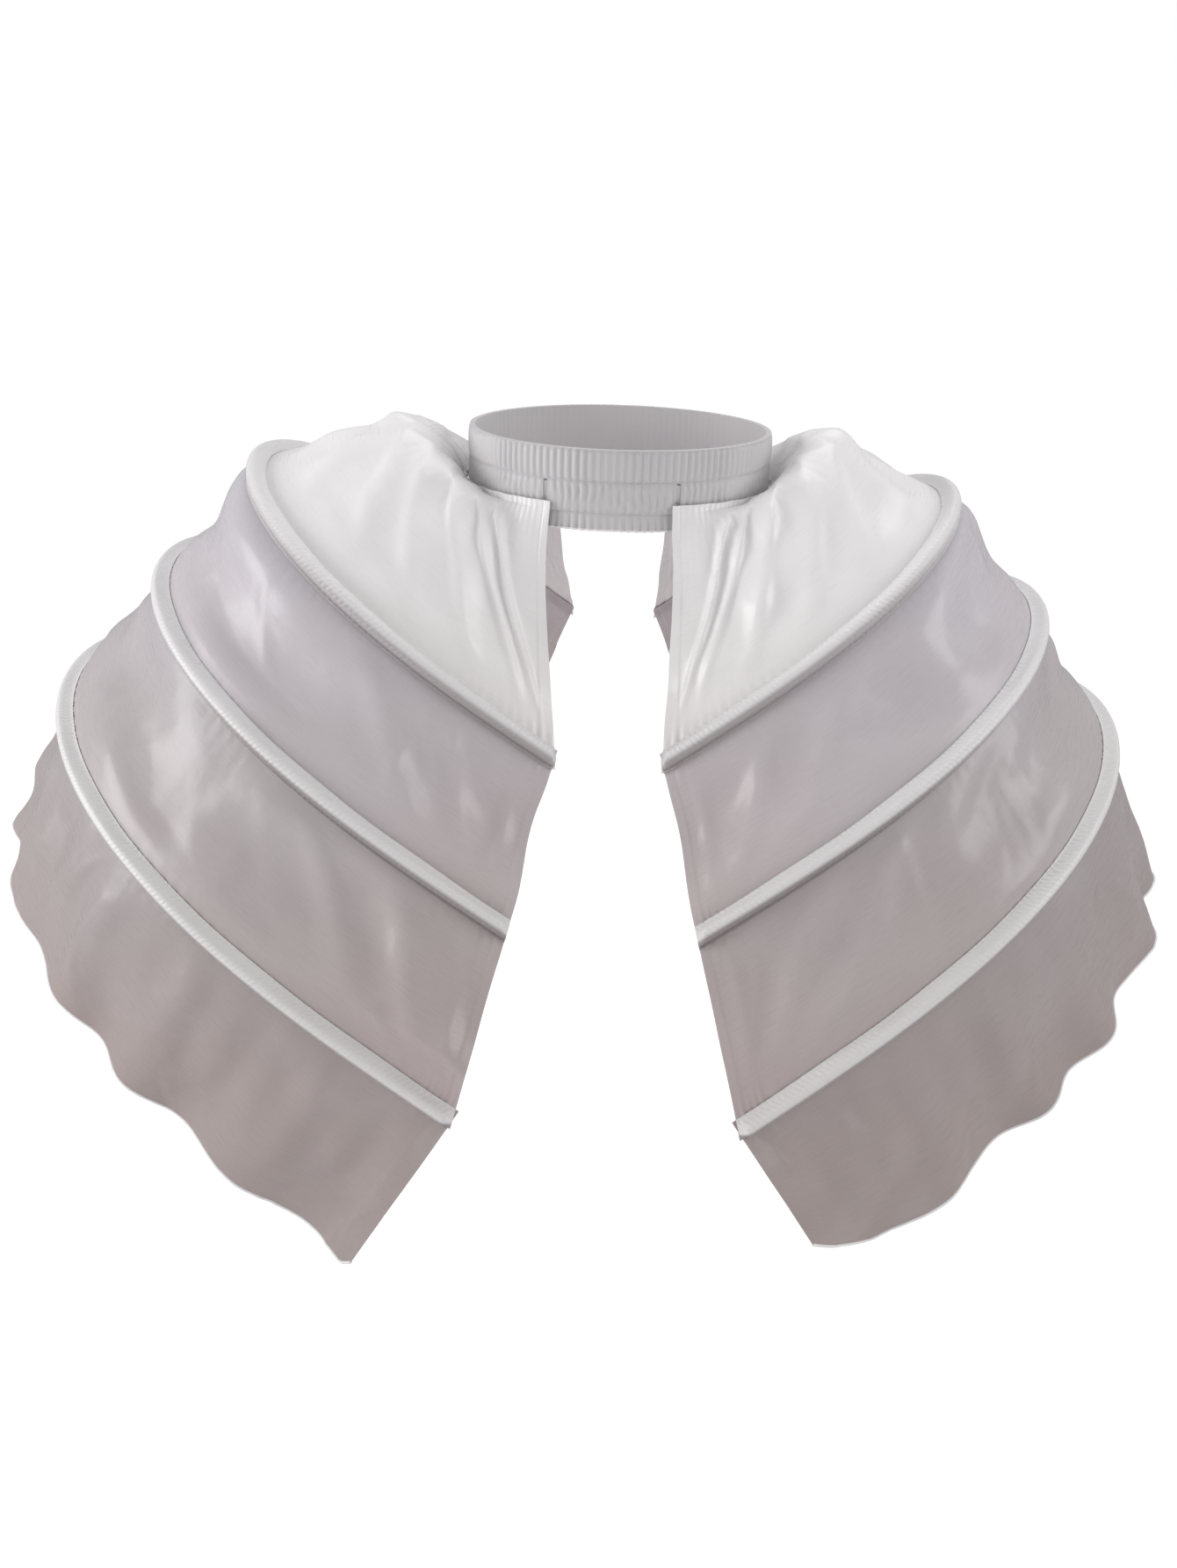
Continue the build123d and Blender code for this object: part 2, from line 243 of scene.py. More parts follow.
def seamPucker(u, v):
    # small ripples where the cloth is caught into the upper edge of a casing
    caught = v.max() - layers["seamLip"] - seamLook["puckerPlace"]
    ripple = seamLook["ripple"] * unevenRipple(u, seamLook["puckerPitch"], 2.3, 43, 29, 1)
    return ripple * np.exp(-np.abs(v - caught) / seamLook["puckerReach"])


def seamGather(u, v, topSeam):
    # the slight fullness of the cloth just below the hoop that it hangs from
    ripple = seamLook["ripple"] * unevenRipple(u, seamLook["gatherPitch"], 2, 33, 21, 2)
    below = np.exp(-np.maximum(v - topSeam, 0) / seamLook["gatherReach"])
    return ripple * below * smooth(v, topSeam, topSeam + 0.003)


def measureCloth(grid):
    # metres along and down the cloth at every point, for its pattern
    middle = grid[grid.shape[0] // 2]
    u = np.repeat(arcLength(middle)[None, :], grid.shape[0], axis=0)
    down = np.linalg.norm(np.diff(grid, axis=0), axis=2).mean(axis=1)
    v = np.repeat(np.concatenate(([0], np.cumsum(down)))[:, None], grid.shape[1], axis=1)
    return u, v


def finishSheet(name, side, grid, uv, thickness):
    # a flat grid is laid on its place, turned over for the right wing and given its thickness inwards
    rows, columns = grid.shape[:2]
    bpy.ops.object.select_all(action="DESELECT")
    bpy.ops.mesh.primitive_grid_add(x_subdivisions=columns - 1, y_subdivisions=rows - 1, size=1)
    sheet = bpy.context.object
    sheet.name = name
    mesh = sheet.data
    flat = np.empty(len(mesh.vertices) * 3)
    mesh.vertices.foreach_get("co", flat)
    flat = flat.reshape(-1, 3)
    column = np.rint((flat[:, 0] + 0.5) * (columns - 1)).astype(int)
    row = np.rint((flat[:, 1] + 0.5) * (rows - 1)).astype(int)
    place = grid[row, column].copy()
    place[:, 0] *= wings[side]["sign"] if side else 1
    mesh.vertices.foreach_set("co", place.ravel())
    loopVertex = np.empty(len(mesh.loops), dtype=int)
    mesh.loops.foreach_get("vertex_index", loopVertex)
    layer = mesh.uv_layers[0] if mesh.uv_layers else mesh.uv_layers.new()
    layer.data.foreach_set("uv", uv[row, column][loopVertex].ravel())
    mesh.update()
    bpy.ops.object.mode_set(mode="EDIT")
    bpy.ops.mesh.select_all(action="SELECT")
    if not side or wings[side]["sign"] > 0:
        bpy.ops.mesh.flip_normals()
    bpy.ops.object.mode_set(mode="OBJECT")
    if thickness:
        solid = sheet.modifiers.new("thickness", "SOLIDIFY")
        solid.thickness = thickness
        solid.offset = -1
        solid.use_quality_normals = True
        bpy.ops.object.modifier_apply(modifier=solid.name)
    bpy.ops.object.shade_smooth_by_angle(angle=math.radians(50))
    return sheet


def lineTube(name, side, points, radius, closed=False):
    # a thread or rolled edge that follows a line of points
    curve = bpy.data.curves.new(name, "CURVE")
    curve.dimensions = "3D"
    spline = curve.splines.new("POLY")
    spline.points.add(len(points) - 1)
    turned = points.copy()
    turned[:, 0] *= wings[side]["sign"] if side else 1
    spline.points.foreach_set("co", np.column_stack((turned, np.ones(len(points)))).ravel())
    spline.use_cyclic_u = closed
    curve.bevel_depth = radius
    curve.bevel_resolution = 1
    curve.use_fill_caps = True
    tube = bpy.data.objects.new(name, curve)
    bpy.context.collection.objects.link(tube)
    bpy.ops.object.select_all(action="DESELECT")
    tube.select_set(True)
    bpy.context.view_layer.objects.active = tube
    bpy.ops.object.convert(target="MESH")
    tube = bpy.context.object
    tube.name = name
    bpy.ops.object.mode_set(mode="EDIT")
    bpy.ops.mesh.select_all(action="SELECT")
    bpy.ops.mesh.remove_doubles(threshold=0.00001)
    bpy.ops.mesh.normals_make_consistent(inside=False)
    bpy.ops.object.mode_set(mode="OBJECT")
    bpy.ops.object.shade_smooth()
    return tube


def hexColour(text):
    # an sRGB hex value as the linear colour that a shader takes
    channels = [int(text[i:i + 2], 16) / 255 for i in (1, 3, 5)]
    return [c / 12.92 if c <= 0.04045 else ((c + 0.055) / 1.055) ** 2.4 for c in channels] + [1]


def addNode(material, kind, settings=None, links=None):
    # adds a node, sets its properties or sockets, and links its inputs from (node, socket) pairs
    node = material.node_tree.nodes.new(kind)
    for key, value in (settings or {}).items():
        if isinstance(key, str) and hasattr(node, key) and key not in node.inputs:
            setattr(node, key, value)
        else:
            node.inputs[key].default_value = value
    for key, (source, socket) in (links or {}).items():
        material.node_tree.links.new(source.outputs[socket], node.inputs[key])
    return node


# threads of the real cloth are 0.15 mm apart, and the pitch is about seven times that, so that they show; between the
# two heights the colour darkens downwards as painted shade
clothLook = {"paintedShadeTop": -0.05, "paintedShadeBottom": -0.45, "threadPitch": 0.0011, "threadRun": 0.025}
# metres across the tape where its painted shade begins along the turned-under lower side, metres from the side of the
# hip over which that painted shade deepens, colour of the painted shade, slant of its ribs
tapeLook = {"turn": (0.0155, 0.0185), "paintedShadeDepth": (0.06, 0.24), "paintedShadeHex": "#8d8485", "ribSlant": 0.55}


def clothMaterial(name, topHex, paintedShadeLowHex, roughness, glow, rumple, slub, ribPitch=0):
    # plain-woven acetate lining taffeta: a soft silky sheen, some light through it, fine cross ribs from its weft, and
    # painted shade that darkens its colour downwards
    material = bpy.data.materials.new(name)
    material.use_nodes = True
    material.node_tree.nodes.clear()
    place = addNode(material, "ShaderNodeTexCoord")
    split = addNode(material, "ShaderNodeSeparateXYZ", links={0: (place, "Object")})
    # painted shade: the colour runs from the top colour high up to the darker lower colour further down, where less
    # light falls; a noise adds patches of random tone
    height = addNode(material, "ShaderNodeMapRange", {
        "From Min": clothLook["paintedShadeBottom"], "From Max": clothLook["paintedShadeTop"], "To Min": 0.0, "To Max": 1.0,
    }, {"Value": (split, "Z")})
    patches = addNode(material, "ShaderNodeTexNoise", {"Scale": 9.0, "Detail": 3.0, "Roughness": 0.5},
                      {"Vector": (place, "Object")})
    blotch = addNode(material, "ShaderNodeMath", {"operation": "MULTIPLY_ADD", 1: 0.35, 2: -0.175},
                     {0: (patches, 0)})
    paintedShadeAndBlotch = addNode(material, "ShaderNodeMath", {"operation": "ADD", "use_clamp": True},
                   {0: (height, 0), 1: (blotch, 0)})
    colour = addNode(material, "ShaderNodeMix", {
        "data_type": "RGBA", 6: hexColour(paintedShadeLowHex), 7: hexColour(topHex),
    }, {0: (paintedShadeAndBlotch, 0)})
    if ribPitch:
        # painted shade: the tape's colour is darkened along its lower side, where it turns under, and more so towards
        # the ends of the hoops
        across = addNode(material, "ShaderNodeSeparateXYZ", links={0: (place, "UV")})
        under = addNode(material, "ShaderNodeMapRange", {
            "From Min": tapeLook["turn"][0], "From Max": tapeLook["turn"][1],
        }, {"Value": (across, "Y")})
        depth = addNode(material, "ShaderNodeMath", {"operation": "ABSOLUTE"}, {0: (split, "Y")})
        paintedShadeTowardsEnd = addNode(material, "ShaderNodeMapRange", {
            "From Min": tapeLook["paintedShadeDepth"][0], "From Max": tapeLook["paintedShadeDepth"][1], "To Min": 0.1, "To Max": 0.9,
        }, {"Value": (depth, 0)})
        shade = addNode(material, "ShaderNodeMath", {"operation": "MULTIPLY"}, {0: (under, 0), 1: (paintedShadeTowardsEnd, 0)})
        colour = addNode(material, "ShaderNodeMix", {"data_type": "RGBA", 7: hexColour(tapeLook["paintedShadeHex"])},
                         {0: (shade, 0), 6: (colour, 2)})
    perThread, perRun = 1 / clothLook["threadPitch"], 1 / clothLook["threadRun"]
    stretch = addNode(material, "ShaderNodeMapping", {"Scale": (perRun, perThread, 1.0)}, {"Vector": (place, "UV")})
    ribs = addNode(material, "ShaderNodeTexNoise", {"Scale": 1.0, "Detail": 2.0, "Roughness": 0.6},
                   {"Vector": (stretch, 0)})
    turn = addNode(material, "ShaderNodeMapping", {"Scale": (perThread, perRun, 1.0)}, {"Vector": (place, "UV")})
    warp = addNode(material, "ShaderNodeTexNoise", {"Scale": 1.0, "Detail": 1.0, "Roughness": 0.5},
                   {"Vector": (turn, 0)})
    weave = addNode(material, "ShaderNodeMath", {"operation": "ADD"}, {0: (ribs, 0), 1: (warp, 0)})
    soft = addNode(material, "ShaderNodeTexNoise", {
        "Scale": 38.0, "Detail": 2.0, "Roughness": 0.45, "Distortion": 0.4,
    }, {"Vector": (place, "Object")})
    creasing = addNode(material, "ShaderNodeBump", {"Strength": 1.0, "Distance": rumple}, {"Height": (soft, 0)})
    threads = addNode(material, "ShaderNodeBump", {"Strength": 0.5, "Distance": slub},
                      {"Height": (weave, 0), "Normal": (creasing, 0)})
    if ribPitch:
        # slanting ribs where the bias-cut tape is stretched round the rod; a wave texture of scale 1 repeats at 0.314
        slant = addNode(material, "ShaderNodeMapping", {"Rotation": (0.0, 0.0, tapeLook["ribSlant"])},
                        {"Vector": (place, "UV")})
        wave = addNode(material, "ShaderNodeTexWave", {
            "Scale": 0.314 / ribPitch, "Distortion": 2.5, "Detail": 2.0, "Detail Scale": 1.5,
        }, {"Vector": (slant, 0)})
        threads = addNode(material, "ShaderNodeBump", {"Strength": 0.6, "Distance": 0.0004},
                          {"Height": (wave, 1), "Normal": (threads, 0)})
    shine = addNode(material, "ShaderNodeMapRange", {
        "From Min": 0.3, "From Max": 0.7, "To Min": roughness - 0.05, "To Max": roughness + 0.08,
    }, {"Value": (ribs, 0)})
    face = addNode(material, "ShaderNodeBsdfPrincipled", {
        "Specular IOR Level": 0.5, "Sheen Weight": 0.15, "Sheen Roughness": 0.4,
    }, {"Base Color": (colour, 2), "Roughness": (shine, 0), "Normal": (threads, 0)})
    through = addNode(material, "ShaderNodeBsdfTranslucent", links={"Color": (colour, 2), "Normal": (threads, 0)})
    both = addNode(material, "ShaderNodeMixShader", {0: glow}, {1: (face, 0), 2: (through, 0)})
    addNode(material, "ShaderNodeOutputMaterial", links={"Surface": (both, 0)})
    return material


def plainMaterial(name, hexText, roughness, bumpScale, bumpDistance, sheen=0.0):
    # moulded or braided pieces that hardly show: an even colour broken by a fine grain
    material = bpy.data.materials.new(name)
    material.use_nodes = True
    material.node_tree.nodes.clear()
    place = addNode(material, "ShaderNodeTexCoord")
    grain = addNode(material, "ShaderNodeTexNoise", {"Scale": bumpScale, "Detail": 3.0}, {"Vector": (place, "Object")})
    base = hexColour(hexText)
    dusk = [c * 0.86 for c in base[:3]] + [1]
    colour = addNode(material, "ShaderNodeMix", {"data_type": "RGBA", 6: dusk, 7: base}, {0: (grain, 0)})
    bump = addNode(material, "ShaderNodeBump", {"Strength": 0.6, "Distance": bumpDistance}, {"Height": (grain, 0)})
    face = addNode(material, "ShaderNodeBsdfPrincipled", {"Roughness": roughness, "Sheen Weight": sheen},
                   {"Base Color": (colour, 2), "Normal": (bump, 0)})
    addNode(material, "ShaderNodeOutputMaterial", links={"Surface": (face, 0)})
    return material


def dress(piece, material):
    piece.data.materials.clear()
    piece.data.materials.append(material)
    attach(piece, "root")


# the gathered yokes have two layers of the cloth and are whiter; light goes through the single lower sheets
yokeCloth = clothMaterial("taffeta woven doubled", "#f7f5f6", "#f0e8e6", 0.30, 0.06, 0.0009, 0.00012)
# painted shade: each lower tier is given a darker colour than the tier above it
tierCloth = {
    1: clothMaterial("taffeta woven second tier", "#e6e3e8", "#d6cac7", 0.27, 0.40, 0.0009, 0.00012),
    2: clothMaterial("taffeta woven third tier", "#dddbdf", "#cfc3c0", 0.27, 0.40, 0.0009, 0.00012),
    3: clothMaterial("taffeta woven flounce", "#d1ced3", "#c3b8b5", 0.28, 0.40, 0.0009, 0.00012),
}
# folded double, the tape lets little light through and shows slanting ribs, with painted shade along its lower side;
# the band's crinkled cloth is duller
tape = clothMaterial("taffeta folded tape", "#eceaeb", "#dcd8d8", 0.40, 0.06, 0.0008, 0.00015, 0.0037)
bandCloth = clothMaterial("taffeta shirred band", "#cdcacc", "#bfbabc", 0.5, 0.05, 0.0004, 0.0002)
# spun thread is matt with a little fuzz, braid is dull, a drawn rod is smooth and slightly glossy, a cap is half matt
thread = plainMaterial("polyester overlock thread", "#f4f1f2", 0.55, 1800.0, 0.0002, 0.2)
elasticBraid = plainMaterial("elastic braided", "#eeece8", 0.7, 900.0, 0.0003)
rodPlastic = plainMaterial("hoop rod polyester", "#e4e2da", 0.3, 300.0, 0.00005)
capPlastic = plainMaterial("rod cap moulded", "#d8d8d2", 0.5, 400.0, 0.00005)
for nodeName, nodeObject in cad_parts.items():
    look = elasticBraid if "elastic" in nodeName else capPlastic if nodeName.endswith("tips") else rodPlastic
    nodeObject.data.materials.clear()
    nodeObject.data.materials.append(look)
print("materials made")


def hangRows(line, way):
    # the first rows of a sheet, tucked under the hoop that it hangs from
    drops = [-layers["seamTuck"], 0, 0.005, layers["leave"]]
    return [(line["point"] + way * drop - line["out"] * layers["under"], line["out"]) for drop in drops]


def seamRows(line, grain):
    # the last rows of a sheet, flat under the tape and down to its lip
    drops = [-0.66 * layers["tapeAbove"], -0.33 * layers["tapeAbove"], 0, 0.5 * layers["seamLip"], layers["seamLip"]]
    return [(line["point"] + grain * drop - line["out"] * layers["axisHeight"], line["out"]) for drop in drops]


def gridOf(rows):
    return np.array([point for point, out in rows]), np.array([out for point, out in rows])


# the gathered yokes; an edge fold has its distance from the open edge at the band and at the hoop, width and height
yokeLook = {
    "overlap": 0.005, "puff": 0.050, "folds": 11, "foldHeight": 0.009, "seamFold": 0.002,
    "gathers": 58, "gatherHeight": 0.0011, "gatherReach": 0.10, "rows": 92, "columns": 300,
    "rumple": {"height": 0.0022, "waves": 26, "sizes": (0.035, 0.12), "lean": math.pi / 2, "spread": 0.5},
    "facets": {"height": 0.0030, "waves": 7, "sizes": (0.06, 0.17), "lean": math.pi / 2, "spread": 0.6},
    "edgeFolds": [(0.050, 0.012, 0.0036, 0.0070), (0.068, 0.030, 0.0050, 0.0055), (0.094, 0.072, 0.0110, 0.0090),
                  (0.122, 0.135, 0.0140, 0.0080), (0.148, 0.200, 0.0150, 0.0075), (0.175, 0.285, 0.0170, 0.0065),
                  (0.205, 0.365, 0.0200, 0.0060)],
    "hemWidth": 0.008, "hemRise": 0.0006,
}


def foldWave(s, count):
    place = (s + 1) / 2 + 0.012 * np.sin(3 * np.pi * s)
    uneven = 0.8 + 0.2 * np.sin(5 * s + 1)
    return uneven * (1 - np.cos(2 * np.pi * count * place)) / 2


def makeYoke(side):
    s = clothColumns(yokeLook["columns"])
    lines = wingLines(side, s)
    top, end = lines[0], lines[1]
    topOut = np.cross(top["along"], [0, 0, 1])
    sideways = 0.25 + 0.5 * (1 - np.abs(s))[:, None]
    leave = unit(np.array([0, 0, -1]) * (1 - sideways) + topOut * sideways)
    grain = grainAt(lines, 1, 0)
    arrive = end["point"] - grain * layers["tapeAbove"] - end["out"] * layers["axisHeight"]
    calm = 0.25 + 0.75 * smooth(1 - np.abs(s), 0.02, 0.38)[:, None]  # lower gathers beside the open edges
    folds = foldWave(s, yokeLook["folds"])[:, None] * calm
    fine = (0.5 + 0.5 * np.sin(2 * np.pi * yokeLook["gathers"] * (s + 1) / 2 + 1.6 * np.sin(9 * s)))[:, None]
    deepen = yokeLook["foldHeight"] - yokeLook["seamFold"]
    rows = []
    for t in np.linspace(0, 1, yokeLook["rows"]) ** 1.15:
        out = unit(topOut * (1 - t) + end["out"] * t)
        puff = yokeLook["puff"] * sideShare(s)[:, None] * math.sin(math.pi * t**0.5) ** 2
        height = (yokeLook["seamFold"] + deepen * min(1, 3 * t)) * (1 - t) ** 1.3
        gather = yokeLook["gatherHeight"] * math.exp(-t / yokeLook["gatherReach"]) * (1 + 14 * t)
        point = spanCurve(top["point"], leave, arrive, grain, t)
        point = point + np.array([0, 0, 1]) * puff + out * (height * folds + gather * fine * calm)
        rows.append((point, out))
    first = rows[0][0] + np.array([0, 0, yokeLook["overlap"]])
    grid, outs = gridOf([(first, topOut)] + rows + seamRows(end, grain))
    u, v = measureCloth(grid)
    seam = v.max() - layers["tapeAbove"] - layers["seamLip"]
    inside = smooth(v, 0.004, 0.03) * (1 - smooth(v, seam - 0.03, seam))
    rumple = rumpleCloth(wings[side]["seed"], u, v, yokeLook)
    # long sharp folds that run from the band's corner down to the hoop's end
    rowLength = np.array([arcLength(row) for row in grid])
    edge = np.minimum(rowLength, rowLength[:, -1:] - rowLength)
    reach = np.clip(v / seam, 0, 1)
    rise = np.minimum(1, 6 * reach) ** 0.5 * (1 - reach) ** 0.5
    rumple = rumple + edgeFolds(edge, reach, yokeLook["edgeFolds"], rise, 0.9, 0.002)
    grid = grid + outs * (rumple * inside + edgeHem(u, yokeLook) + seamPucker(u, v))[..., None]
    piece = finishSheet(side + "YokeCloth", side, grid, np.stack([u, v], axis=-1), drawnCloth)
    dress(piece, yokeCloth)
    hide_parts(side + "_yoke")
    return piece, grid


# the taut tiers
tierLook = {
    "sag": 0.010, "rows": 60, "columns": 260, "hemWidth": 0.008, "hemRise": 0.0006,
    "rumple": {"height": 0.0014, "waves": 30, "sizes": (0.05, 0.16), "lean": math.pi / 2, "spread": 0.9},
    "facets": {"height": 0.0046, "waves": 8, "sizes": (0.07, 0.20), "lean": math.pi / 2, "spread": 0.95},
    "creases": {"height": 0.0030, "count": 26, "width": 0.006, "length": 0.045, "lean": math.pi / 2},
    "edgeFolds": [(0.026, 0.018, 0.007, 0.0025), (0.100, 0.034, 0.014, 0.0045), (0.185, 0.075, 0.020, 0.0045)],
}


def makeTier(side, level, title, nodeEnd):
    s = clothColumns(tierLook["columns"])
    lines = wingLines(side, s)
    start, end = lines[level], lines[level + 1]
    startGrain, endGrain = grainAt(lines, level, level), grainAt(lines, level + 1, level)
    rows = hangRows(start, startGrain)
    leave = rows[-1][0]
    arrive = end["point"] - endGrain * layers["tapeAbove"] - end["out"] * layers["axisHeight"]
    for t in np.linspace(0, 1, tierLook["rows"])[1:]:
        out = unit(start["out"] * (1 - t) + end["out"] * t)
        sag = tierLook["sag"] * math.sin(math.pi * t) ** 2
        rows.append((spanCurve(leave, startGrain, arrive, endGrain, t) - out * sag, out))
    grid, outs = gridOf(rows + seamRows(end, endGrain))
    u, v = measureCloth(grid)
    topSeam = layers["seamTuck"] + layers["leave"]
    seam = v.max() - layers["tapeAbove"] - layers["seamLip"]
    inside = smooth(v, topSeam, topSeam + 0.03) * (1 - smooth(v, seam - 0.025, seam))
    rumple = rumpleCloth(wings[side]["seed"] + 20 * level, u, v, tierLook)
    reach = np.clip((v - topSeam) / (seam - topSeam), 0, 1)
    edge = np.minimum(u, u.max() - u)
    rumple = rumple + edgeFolds(edge, reach, tierLook["edgeFolds"], np.sin(np.pi * reach) ** 0.6)
    lift = rumple * inside + edgeHem(u, tierLook) + seamPucker(u, v) + seamGather(u, v, topSeam)
    grid = grid + outs * lift[..., None]
    piece = finishSheet(side + title, side, grid, np.stack([u, v], axis=-1), drawnCloth)
    dress(piece, tierCloth[level])
    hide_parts(side + nodeEnd)
    return piece, grid


# the free flounces
flounceLook = {
    "rows": 66, "columns": 300, "hemWidth": 0.019, "hemRise": 0.0007, "hemBead": 0.0013,
    "ripples": 27, "rippleHeight": 0.0012,
    "rumple": {"height": 0.0012, "waves": 24, "sizes": (0.04, 0.13), "lean": 0.0, "spread": 0.7},
    "facets": {"height": 0.0036, "waves": 7, "sizes": (0.06, 0.16), "lean": 0.0, "spread": 0.8},
    "creases": {"height": 0.0032, "count": 34, "width": 0.005, "length": 0.04, "lean": math.pi / 2},
}


def hemWave(s):
    place = (s + 1) / 2 + 0.01 * np.sin(4 * np.pi * s + 1)
    return np.cos(2 * np.pi * flounceCut["waves"] * place)


def makeFlounce(side):
    s = clothColumns(flounceLook["columns"])
    lines = wingLines(side, s)
    start, hem = lines[3], lines[4]
    rows = hangRows(start, start["down"])
    leave = rows[-1][0]
    # the two lower corners are rounded
    half = arcLength(start["point"])[-1] / 2
    radius = wings[side]["cornerRound"]
    corner = np.clip(1 - (1 - np.abs(s)) * half / radius, 0, 1)
    trim = 1 - radius * (1 - np.cos(np.pi / 2 * corner)) / flounceCut["length"]
    length = ((flounceCut["length"] - layers["leave"]) * trim)[:, None]
    end = leave + hem["way"] * length
    wave = hemWave(s)[:, None]
    small = np.sin(2 * np.pi * flounceLook["ripples"] * (s + 1) / 2 + 2 * np.sin(7 * s))[:, None]
    for t in np.linspace(0, 1, flounceLook["rows"])[1:]:
        out = unit(start["out"] * (1 - t) + hem["out"] * t)
        ripple = flounceLook["rippleHeight"] * math.sin(math.pi * min(1, t * 1.2)) * small
        swing = flounceCut["swing"] * t**1.3 * wave + ripple
        rows.append((spanCurve(leave, start["down"], end, hem["way"], t) + out * swing, out))
    grid, outs = gridOf(rows)
    u, v = measureCloth(grid)
    topSeam = layers["seamTuck"] + layers["leave"]
    rumple = rumpleCloth(wings[side]["seed"] + 70, u, v, flounceLook) * smooth(v, topSeam, topSeam + 0.04)
    grid = grid + outs * (rumple + edgeHem(u, flounceLook) + seamGather(u, v, topSeam))[..., None]
    piece = finishSheet(side + "FlounceCloth", side, grid, np.stack([u, v], axis=-1), drawnCloth)
    dress(piece, tierCloth[3])
    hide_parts(side + "_hem_flounce")
    edge = grid[-1] - outs[-1] * 0.0002
    bead = lineTube(side + "HemOverlock", side, edge, flounceLook["hemBead"])
    dress(bead, thread)
    return piece, grid, bead


# the casings, narrow piping round the rods with a flat lip on each side
casingLook = {
    "outer": 0.0056, "slope": 52, "above": 0.0076, "below": 0.0078, "base": 0.0013, "lip": 0.0012,
    "columns": 860, "archSteps": 10, "tape": 0.0005, "puckerPitch": 0.0050, "endClosing": 0.0075,
}


def casingProfile(base):
    # across and up from the rod's axis, from the lip above over the rod to the lip below
    radius, above, below = casingLook["outer"], casingLook["above"], casingLook["below"]
    angles = np.linspace(math.radians(casingLook["slope"]), math.pi, casingLook["archSteps"])
    arch = [(-radius * math.cos(a), radius * math.sin(a)) for a in angles]
    profile = [(-above - casingLook["lip"], base - 0.0005), (-above, base)]
    for share in (0.25, 0.5, 0.75):
        profile.append((-above + (arch[0][0] + above) * share, base + (arch[0][1] - base) * share**1.2))
    profile += arch + [(radius, 0.4 * base), (radius - 0.0002, base), (radius + 0.001, base)]
    return profile + [(below - 0.0003, base), (below, base - 0.0006)]


def makeCasing(side, level):
    s = clothColumns(casingLook["columns"])
    lines = wingLines(side, s)
    line = lines[level]
    length = arcLength(line["point"])
    u = length[:, None]
    fromEnd = np.minimum(length, length[-1] - length)[:, None]
    base = -layers["axisHeight"] + casingLook["base"]
    profile = casingProfile(base)
    closing = 0.2 + 0.8 * smooth(fromEnd, 0.0, casingLook["endClosing"])
    phase = 2 * np.pi * u / casingLook["puckerPitch"] + 2.2 * np.sin(u * 47) + 1.1 * np.sin(u * 131)
    uneven = 0.65 + 0.35 * np.sin(u * 37 + level)
    ways = [grainAt(lines, level, level - 1), grainAt(lines, level, level)]
    rows = []
    for across, up in profile:
        lift = base + (up - base) * closing if up > base else np.full_like(u, up)
        nearTop = math.exp(-abs(across + casingLook["above"] - 0.001) / 0.0025)
        nearTuck = math.exp(-abs(across - casingLook["outer"]) / 0.002)
        pucker = (0.0006 * nearTop + 0.0003 * nearTuck) * uneven * np.sin(phase)
        wander = 0.0006 * np.sin(u * 61) * nearTop * smooth(fromEnd, 0.002, 0.02)
        rows.append(line["point"] + ways[across > 0] * (across + wander) + line["out"] * (lift + pucker))
    grid = np.array(rows)
    across = arcLength(np.array(profile))
    uv = np.stack(np.broadcast_arrays(length[None, :], across[:, None]), axis=-1)
    hoop = side + "_" + hoopNames[level - 1]
    title = side + hoopNames[level - 1].capitalize() + "CasingTape"
    piece = finishSheet(title, side, grid, uv, casingLook["tape"])
    dress(piece, tape)
    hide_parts(hoop + "_casing")


for side in wings:
    yoke, yokeGrid = makeYoke(side)
    second, secondGrid = makeTier(side, 1, "SecondTierCloth", "_second_tier")
    third, thirdGrid = makeTier(side, 2, "ThirdTierCloth", "_third_tier")
    flounce, flounceGrid, bead = makeFlounce(side)
    for level in (1, 2, 3):
        makeCasing(side, level)
    print(side, "wing made")

# the shirred waistband, with pleats over two channels and a frilled raw edge below them
bandLook = {
    "flat": 0.0038, "pleats": 128, "perPleat": 6, "pleatHeight": 0.0017, "bore": 0.0001,
    "channel": 0.0245, "skirt": 0.007, "ruffle": 0.005, "flare": 0.0009, "puff": 0.0007,
    "pinch": 0.0006, "stitchWidth": 0.0011, "overlock": 0.0009,
    "slitX": {"left": 0.046, "right": 0.056}, "slitTop": -0.0268, "slitBottom": -0.0468,
    "slitWidth": 0.002, "slitDepth": 0.0034,
    "fullness": 1.3, "clothDepth": 0.0615,
}


def bandRing(angle, grow, drop):
    return np.stack([(waist["width"] / 2 + grow) * np.cos(angle), (waist["depth"] / 2 + grow) * np.sin(angle),
                     np.full_like(angle, -drop)], axis=-1)


